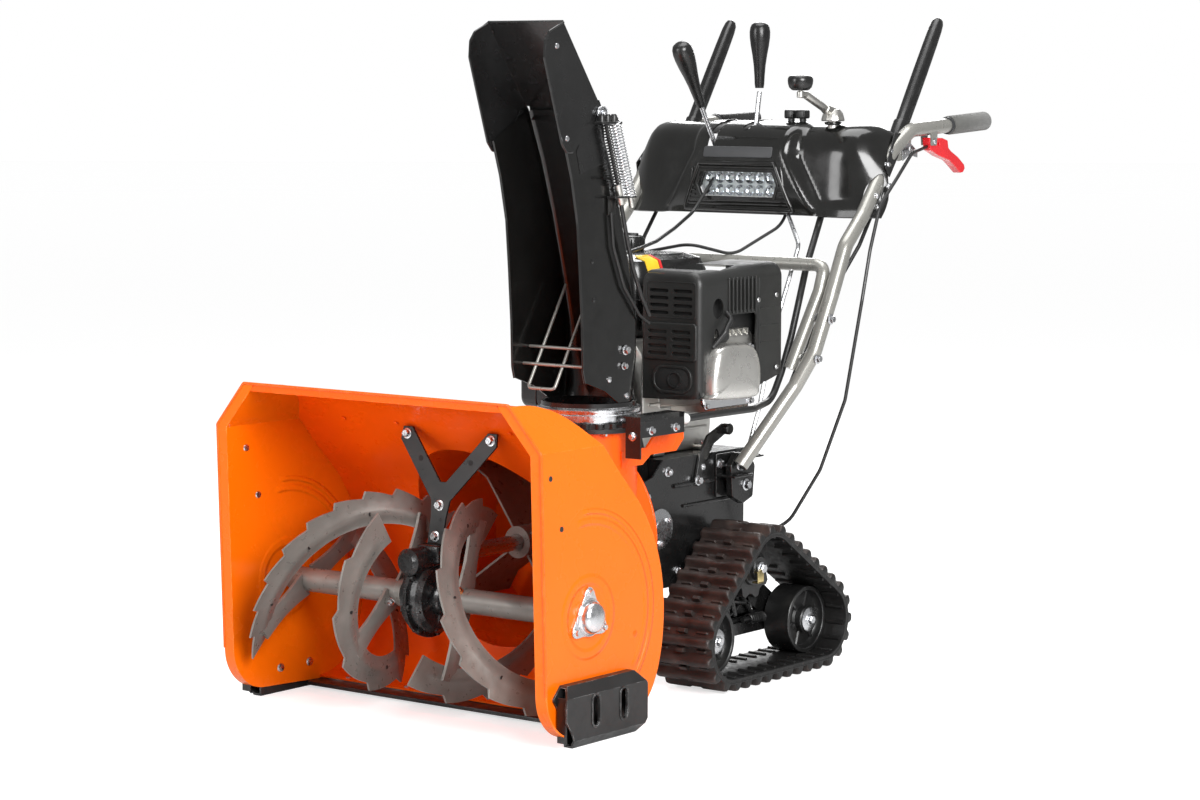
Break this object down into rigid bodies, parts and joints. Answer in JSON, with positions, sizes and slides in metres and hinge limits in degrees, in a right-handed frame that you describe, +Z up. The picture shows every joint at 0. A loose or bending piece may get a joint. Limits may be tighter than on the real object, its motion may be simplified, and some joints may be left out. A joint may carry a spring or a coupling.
{
  "type": "snow blower",
  "caption": "Tracked two-stage snow blower: orange auger housing, turning discharge chute, petrol engine, twin rubber tracks and a control dash with levers.",
  "frame": {"origin": "on the ground under the centre of the bounding box", "axes": "+Z up, -Y the direction of travel (auger mouth), +Y towards the operator, +X the operator's left"},
  "size_m": [0.67, 1.381, 1.088],
  "materials": {
    "orange_paint": "gloss",
    "black_paint": "gloss",
    "black_satin": "satin",
    "cast_black": "gloss",
    "dark_plastic": "matte",
    "gloss_black_plastic": "gloss",
    "auger_paint": "satin",
    "zinc_plate": "satin",
    "cast_aluminium": "satin",
    "steel": "satin",
    "handle_paint": "satin",
    "track_rubber": "matte",
    "belt_rubber": "matte",
    "foam": "matte",
    "red_plastic": "gloss",
    "lens": "gloss"
  },
  "bodies": {
    "base": {"housing_back": "orange_paint", "side_plate_left": "orange_paint", "side_plate_right": "orange_paint", "impeller_drum": "orange_paint", "scraper_bar": "black_satin", "gearbox_strap": "black_satin", "chute_base": "black_satin", "chassis_frame": "black_satin", "gearbox_case": "cast_black", "bearing_left": "zinc_plate", "bearing_right": "zinc_plate", "belt_cover": "black_paint", "recoil_housing": "black_paint", "fuel_tank": "black_paint", "drive_belt": "belt_rubber", "worm_cover": "dark_plastic", "engine_shroud": "dark_plastic", "flex_shaft": "gloss_black_plastic", "dash_panel": "gloss_black_plastic", "valve_cover": "cast_aluminium", "engine_block": "cast_aluminium", "handle_left": "handle_paint", "handle_right": "handle_paint", "handle_loop": "handle_paint", "grip_left": "foam", "grip_right": "foam", "headlamp": "lens"},
    "auger_set": {"auger_shaft": "steel", "auger_left": "auger_paint", "auger_right": "auger_paint"},
    "impeller_set": {"impeller": "auger_paint", "impeller_shaft": "steel"},
    "engine_pulley": {"engine_pulley": "steel"},
    "chute": {"chute_gear_ring": "zinc_plate", "chute_lower": "black_paint", "wire_guard": "zinc_plate"},
    "deflector": {"chute_deflector": "black_paint"},
    "chute_worm": {"chute_worm": "steel"},
    "chute_crank": {"chute_crank": "zinc_plate"},
    "crank_knob": {"crank_knob": "gloss_black_plastic"},
    "deflector_lever": {"deflector_lever": "gloss_black_plastic"},
    "speed_lever": {"speed_lever": "gloss_black_plastic"},
    "choke_toggle": {"choke_toggle": "gloss_black_plastic"},
    "throttle_toggle": {"throttle_toggle": "gloss_black_plastic"},
    "clutch_lever_left": {"clutch_lever_left": "gloss_black_plastic"},
    "clutch_lever_right": {"clutch_lever_right": "gloss_black_plastic"},
    "track_trigger": {"track_trigger": "red_plastic"},
    "skid_left": {"skid_left": "black_satin"},
    "skid_right": {"skid_right": "black_satin"},
    "fuel_cap": {"fuel_cap": "gloss_black_plastic"},
    "recoil_grip": {"recoil_grip": "gloss_black_plastic"},
    "drive_axle": {"drive_axle": "steel"},
    "track_unit_left": {"track_frame_left": "black_satin", "track_left": "track_rubber"},
    "track_unit_right": {"track_frame_right": "black_satin", "track_right": "track_rubber"},
    "front_idler_left": {"front_idler_left": "gloss_black_plastic"},
    "front_idler_right": {"front_idler_right": "gloss_black_plastic"},
    "rear_idler_left": {"rear_idler_left": "gloss_black_plastic"},
    "rear_idler_right": {"rear_idler_right": "gloss_black_plastic"}
  },
  "joints": [
    {"name": "auger_spin", "type": "hinge", "parent": "base", "child": "auger_set", "pos_m": [0, -0.5322, 0.186], "axis": [1, 0, 0], "continuous": true},
    {"name": "impeller_spin", "type": "hinge", "parent": "base", "child": "impeller_set", "pos_m": [0, -0.2522, 0.2448], "axis": [0, 1, 0], "continuous": true},
    {"name": "engine_spin", "type": "hinge", "parent": "base", "child": "engine_pulley", "pos_m": [0, -0.1422, 0.471], "axis": [0, 1, 0], "continuous": true},
    {"name": "chute_rotate", "type": "hinge", "parent": "base", "child": "chute", "pos_m": [0.09, -0.2522, 0.45], "axis": [0, 0, 1], "range_deg": [-95, 95]},
    {"name": "deflector_tilt", "type": "hinge", "parent": "chute", "child": "deflector", "pos_m": [0.09, -0.3142, 0.936], "axis": [1, 0, 0], "range_deg": [0, 50]},
    {"name": "deflector_lever_swing", "type": "hinge", "parent": "base", "child": "deflector_lever", "pos_m": [-0.06, 0.3228, 0.826], "axis": [1, 0, 0], "range_deg": [-30, 0]},
    {"name": "chute_worm_spin", "type": "hinge", "parent": "base", "child": "chute_worm", "pos_m": [0.194, -0.2522, 0.44], "axis": [0, 1, 0], "range_deg": [-1140, 1140]},
    {"name": "crank_turn", "type": "hinge", "parent": "base", "child": "chute_crank", "pos_m": [0.155, 0.3433, 0.92], "axis": [0, 0, 1], "range_deg": [-1140, 1140]},
    {"name": "crank_knob_spin", "type": "hinge", "parent": "chute_crank", "child": "crank_knob", "pos_m": [0.155, 0.2433, 0.97], "axis": [0, 0, 1], "continuous": true},
    {"name": "speed_lever_shift", "type": "hinge", "parent": "base", "child": "speed_lever", "pos_m": [0, 0.3228, 0.826], "axis": [1, 0, 0], "range_deg": [-18, 18]},
    {"name": "choke_tilt", "type": "hinge", "parent": "base", "child": "choke_toggle", "pos_m": [0.065, 0.3498, 0.898], "axis": [1, 0, 0], "range_deg": [-14, 14]},
    {"name": "throttle_tilt", "type": "hinge", "parent": "base", "child": "throttle_toggle", "pos_m": [0.089, 0.3498, 0.898], "axis": [1, 0, 0], "range_deg": [-14, 14]},
    {"name": "clutch_left", "type": "hinge", "parent": "base", "child": "clutch_lever_left", "pos_m": [0.2215, 0.4248, 0.852], "axis": [1, 0, 0], "range_deg": [-30, 0]},
    {"name": "clutch_right", "type": "hinge", "parent": "base", "child": "clutch_lever_right", "pos_m": [-0.2215, 0.4248, 0.852], "axis": [1, 0, 0], "range_deg": [-30, 0]},
    {"name": "trigger_squeeze", "type": "hinge", "parent": "base", "child": "track_trigger", "pos_m": [0.2485, 0.5038, 0.873], "axis": [1, 0, 0], "range_deg": [0, 13]},
    {"name": "skid_height_left", "type": "slide", "parent": "base", "child": "skid_left", "axis": [0, 0, 1], "range_m": [-0.025, 0]},
    {"name": "skid_height_right", "type": "slide", "parent": "base", "child": "skid_right", "axis": [0, 0, 1], "range_m": [-0.025, 0]},
    {"name": "fuel_cap_twist", "type": "hinge", "parent": "base", "child": "fuel_cap", "pos_m": [-0.08, 0.0778, 0.7], "axis": [0, 0, 1], "range_deg": [0, 90]},
    {"name": "recoil_pull", "type": "slide", "parent": "base", "child": "recoil_grip", "axis": [0, 1, 0], "range_m": [0, 0.45]},
    {"name": "axle_spin", "type": "hinge", "parent": "base", "child": "drive_axle", "pos_m": [0, 0.0128, 0.185], "axis": [1, 0, 0], "continuous": true},
    {"name": "track_pitch_left", "type": "hinge", "parent": "base", "child": "track_unit_left", "pos_m": [0, 0.0128, 0.185], "axis": [1, 0, 0], "range_deg": [-6, 6]},
    {"name": "track_pitch_right", "type": "hinge", "parent": "base", "child": "track_unit_right", "pos_m": [0, 0.0128, 0.185], "axis": [1, 0, 0], "range_deg": [-6, 6]},
    {"name": "front_idler_spin_left", "type": "hinge", "parent": "track_unit_left", "child": "front_idler_left", "pos_m": [0.2, -0.0972, 0.078], "axis": [1, 0, 0], "continuous": true},
    {"name": "rear_idler_spin_left", "type": "hinge", "parent": "track_unit_left", "child": "rear_idler_left", "pos_m": [0.2, 0.1678, 0.078], "axis": [1, 0, 0], "continuous": true},
    {"name": "front_idler_spin_right", "type": "hinge", "parent": "track_unit_right", "child": "front_idler_right", "pos_m": [-0.2, -0.0972, 0.078], "axis": [1, 0, 0], "continuous": true},
    {"name": "rear_idler_spin_right", "type": "hinge", "parent": "track_unit_right", "child": "rear_idler_right", "pos_m": [-0.2, 0.1678, 0.078], "axis": [1, 0, 0], "continuous": true}
  ],
  "couplings": [
    {"joint": "impeller_spin", "follows": "auger_spin", "ratio": 10},
    {"joint": "engine_spin", "follows": "auger_spin", "ratio": 23.6},
    {"joint": "deflector_lever_swing", "follows": "deflector_tilt", "ratio": -0.6},
    {"joint": "chute_worm_spin", "follows": "chute_rotate", "ratio": 12},
    {"joint": "crank_turn", "follows": "chute_rotate", "ratio": 12},
    {"joint": "front_idler_spin_left", "follows": "axle_spin", "ratio": 0.95},
    {"joint": "rear_idler_spin_left", "follows": "axle_spin", "ratio": 0.95},
    {"joint": "front_idler_spin_right", "follows": "axle_spin", "ratio": 0.95},
    {"joint": "rear_idler_spin_right", "follows": "axle_spin", "ratio": 0.95}
  ]
}
